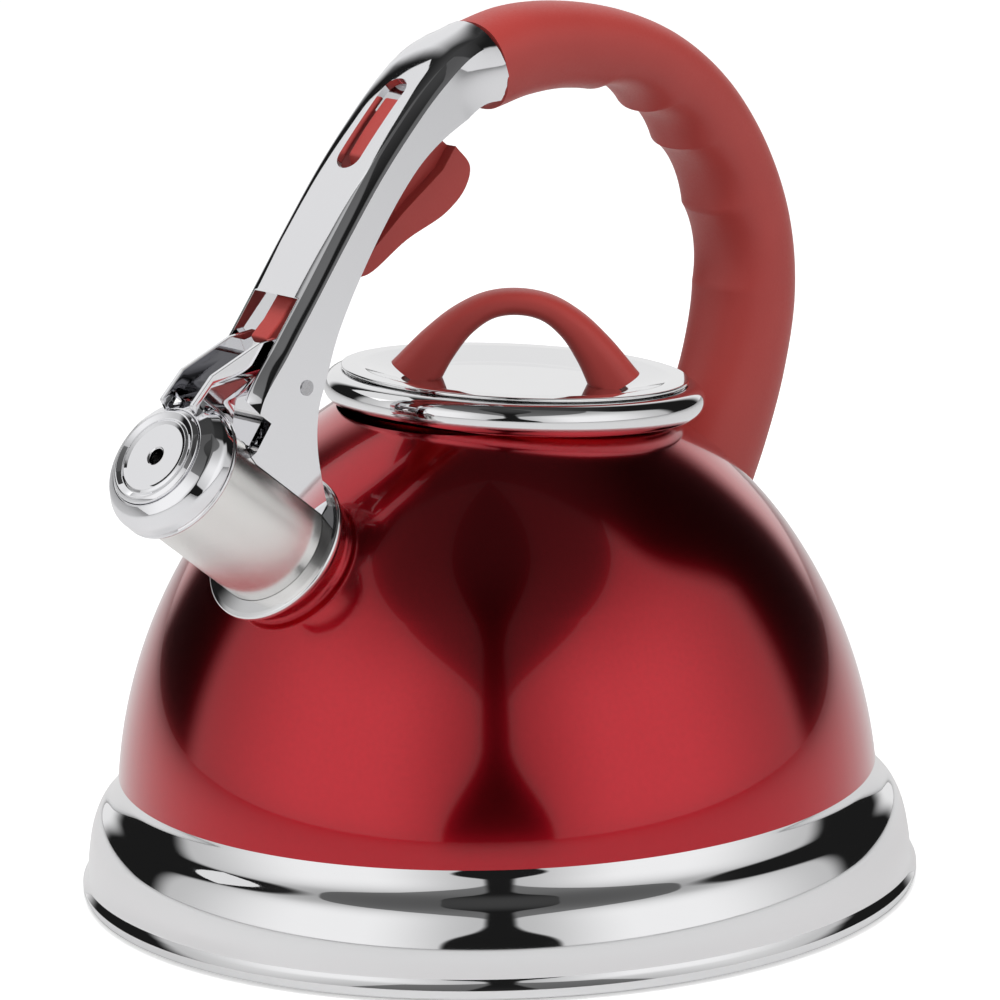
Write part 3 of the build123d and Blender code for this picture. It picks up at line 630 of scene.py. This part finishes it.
# ---- CAD pieces that keep their shape --------------------------------------------------------------
KEPT = {
    "heat_disc": aluminium, "base_cover": brushed_steel, "lid_skirt": brushed_steel,
    "lid_screws": fastener, "lid_washers": fastener, "whistle_disc": brushed_steel,
    "cap_hinge_pin": fastener, "trigger_pin": fastener, "trigger_spring": fastener,
    "front_bracket": brushed_steel, "front_screw": fastener, "grip_bolt": fastener,
    "rear_bracket": brushed_steel, "rear_plate": mirror_steel, "rear_screw": fastener}
for name, material in KEPT.items():
    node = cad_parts[name]
    node.data.materials.clear()
    node.data.materials.append(material)

# ---- floor, light and camera -----------------------------------------------------------------------
CAMERA_TURN, CAMERA_RISE, CAMERA_ROLL = radians(-132.35), radians(13.85), radians(1.49)
CAMERA_REACH, CAMERA_LENS = 1847.8, 255.9
TARGET = Vector((0, -3.9, 102.8))

# the floor is a hair below the base; what the camera sees of it is lifted to white, its light is not
FLOOR_HALF, FLOOR_DROP, FLOOR_LIFT = 6000, 0.05, 0.55
floor_signs = ((-1, -1), (1, -1), (1, 1), (-1, 1))
floor_corners = [(x * FLOOR_HALF, y * FLOOR_HALF, -FLOOR_DROP) for x, y in floor_signs]
floor = make_object("floor", floor_corners, [(0, 1, 2, 3)])
paper, paper_tree, paper_shader = new_material("floor_paper", (0.78, 0.78, 0.78), 0.0, 0.9)
paper_shader.inputs["Emission Color"].default_value = (1, 1, 1, 1)
seen_floor = paper_tree.nodes.new("ShaderNodeLightPath")
floor_lift = paper_tree.nodes.new("ShaderNodeMath")
floor_lift.operation = "MULTIPLY"
floor_lift.inputs[1].default_value = FLOOR_LIFT
paper_tree.links.new(seen_floor.outputs["Is Camera Ray"], floor_lift.inputs[0])
paper_tree.links.new(floor_lift.outputs["Value"], paper_shader.inputs["Emission Strength"])
floor.data.materials.append(paper)

# The studio, in degrees: turn is measured away from the camera to either side, rise from level up.
# Each pair says where a soft step starts and ends.
# half width of the dark gap round the camera, and its soft edge
GAP, EDGE = 3.0, 2.5
# what the gap gains toward the floor and toward the roof
GAP_LOW, GAP_LOW_RISE = 12.0, (0, 22)
GAP_HIGH, GAP_HIGH_RISE = 40.0, (42, 85)
# the dim funnel above the gap
FUNNEL, FUNNEL_RISE, FUNNEL_LEVEL = 100.0, (30, 70), 0.28
# far end of the soft boxes, which leans toward the camera higher up
BOX_END, BOX_LEAN, BOX_LEAN_RISE = (103, 113), 20, (22, 50)
# brighter middle of each soft box
GLOW_START, GLOW_END, GLOW_RISE = (4, 40), (56, 108), (24, 56)
GLOW_GAIN, BOX_LEVEL = 0.50, 0.66
# the boxes grow dimmer toward the roof
ROOF_RISE, ROOF_GAIN, ROOF_LEVEL = (30, 80), 0.45, 0.55
# white backdrop behind the kettle
BACKDROP_TURN, BACKDROP_RISE = (142, 154), (38, 62)
ZENITH_RISE, ZENITH_LEVEL = (45, 75), 0.05
STUDIO_LEVEL, STUDIO_DARK = 0.85, 0.012


def studio_world():
    """White to the camera; in the metal, soft boxes left and right, a dark gap between, a backdrop behind."""
    world = bpy.data.worlds.new("studio")
    scene.world = world
    world.use_nodes = True
    tree = world.node_tree
    tree.nodes.clear()

    def node(kind, operation=None, *values):
        made = tree.nodes.new(kind)
        if operation:
            made.operation = operation
        for socket, value in zip(made.inputs, values):
            if isinstance(value, bpy.types.NodeSocket):
                tree.links.new(value, socket)
            else:
                socket.default_value = value
        return made

    def ramp(value, start, end):
        made = node("ShaderNodeMapRange", None, value, start, end, 0.0, 1.0)
        made.interpolation_type = "SMOOTHSTEP"
        return made.outputs["Result"]

    def step_up(value, degrees):
        return ramp(value, radians(degrees[0]), radians(degrees[1]))

    def step_down(value, degrees):
        return math("SUBTRACT", 1.0, step_up(value, degrees))

    def math(operation, *values):
        return node("ShaderNodeMath", operation, *values).outputs["Value"]

    def along(direction):
        return node("ShaderNodeVectorMath", "DOT_PRODUCT", sky, direction).outputs["Value"]

    sky = tree.nodes.new("ShaderNodeTexCoord").outputs["Generated"]
    toward = (cos(CAMERA_TURN), sin(CAMERA_TURN), 0)
    beside = (-sin(CAMERA_TURN), cos(CAMERA_TURN), 0)
    turn = math("ABSOLUTE", math("ARCTAN2", along(beside), along(toward)))
    rise = math("ARCSINE", along((0, 0, 1)))
    low_gain = math("MULTIPLY", step_up(rise, GAP_LOW_RISE), radians(GAP_LOW))
    low_gap = math("SUBTRACT", radians(GAP + GAP_LOW), low_gain)
    gap = math("MULTIPLY_ADD", step_up(rise, GAP_HIGH_RISE), radians(GAP_HIGH), low_gap)
    boxes = ramp(turn, gap, math("ADD", gap, radians(EDGE)))
    funnel = math("MULTIPLY_ADD", step_up(rise, FUNNEL_RISE), radians(FUNNEL), low_gap)
    funnel = ramp(turn, funnel, math("ADD", funnel, radians(EDGE)))
    boxes = math("MULTIPLY", boxes, math("MULTIPLY_ADD", funnel, 1 - FUNNEL_LEVEL, FUNNEL_LEVEL))
    side = math("MULTIPLY", step_up(rise, BOX_LEAN_RISE), radians(BOX_LEAN))
    side = math("ADD", turn, side)
    boxes = math("MULTIPLY", boxes, step_down(side, BOX_END))
    glow = math("MULTIPLY", step_up(turn, GLOW_START), step_down(turn, GLOW_END))
    glow = math("MULTIPLY", glow, step_down(rise, GLOW_RISE))
    boxes = math("MULTIPLY", boxes, math("MULTIPLY_ADD", glow, GLOW_GAIN, BOX_LEVEL))
    boxes = math("MULTIPLY", boxes, math("MULTIPLY_ADD", step_down(rise, ROOF_RISE), ROOF_GAIN, ROOF_LEVEL))
    backdrop = math("MULTIPLY", step_up(turn, BACKDROP_TURN), step_down(rise, BACKDROP_RISE))
    light = math("MAXIMUM", boxes, backdrop)
    light = math("MAXIMUM", light, math("MULTIPLY", step_up(rise, ZENITH_RISE), ZENITH_LEVEL))
    light = math("MULTIPLY_ADD", light, STUDIO_LEVEL, STUDIO_DARK)
    seen = tree.nodes.new("ShaderNodeLightPath").outputs["Is Camera Ray"]
    light = math("ADD", math("MULTIPLY", light, math("SUBTRACT", 1.0, seen)), seen)
    background = tree.nodes.new("ShaderNodeBackground")
    tree.links.new(light, background.inputs["Strength"])
    background.inputs["Color"].default_value = (1, 1, 1, 1)
    output = tree.nodes.new("ShaderNodeOutputWorld")
    tree.links.new(background.outputs["Background"], output.inputs["Surface"])


studio_world()


def soft_light(name, turn, rise, reach, size, power, mirrored):
    """Square light aimed at the kettle's middle, in metres and watts; mirrored ones show in the metal."""
    light = bpy.data.lights.new(name, "AREA")
    light.shape = "SQUARE"
    light.size = size
    light.energy = power
    lamp = bpy.data.objects.new(name, light)
    scene.collection.objects.link(lamp)
    toward = Vector((cos(rise) * cos(turn), cos(rise) * sin(turn), sin(rise)))
    lamp.location = TARGET * MM + toward * reach
    lamp.rotation_euler = toward.to_track_quat("Z", "Y").to_euler()
    lamp.visible_glossy = mirrored
    lamp.visible_camera = False


soft_light("top_light", turn=CAMERA_TURN, rise=radians(80), reach=2.2, size=1.6, power=40, mirrored=False)
soft_light("arm_card", turn=radians(117.6), rise=radians(44.5), reach=0.574, size=0.33, power=0.28,
           mirrored=True)

camera_data = bpy.data.cameras.new("camera")
camera_data.lens = CAMERA_LENS
camera_data.sensor_width = 36
camera_data.clip_end = 50
camera = bpy.data.objects.new("camera", camera_data)
scene.collection.objects.link(camera)
look = Vector((cos(CAMERA_RISE) * cos(CAMERA_TURN), cos(CAMERA_RISE) * sin(CAMERA_TURN), sin(CAMERA_RISE)))
camera.location = (TARGET + look * CAMERA_REACH) * MM
facing = look.to_track_quat("Z", "Y").to_matrix()
camera.rotation_euler = (facing @ Matrix.Rotation(-CAMERA_ROLL, 3, "Z")).to_euler()
scene.camera = camera
scene.view_settings.view_transform = "Standard"
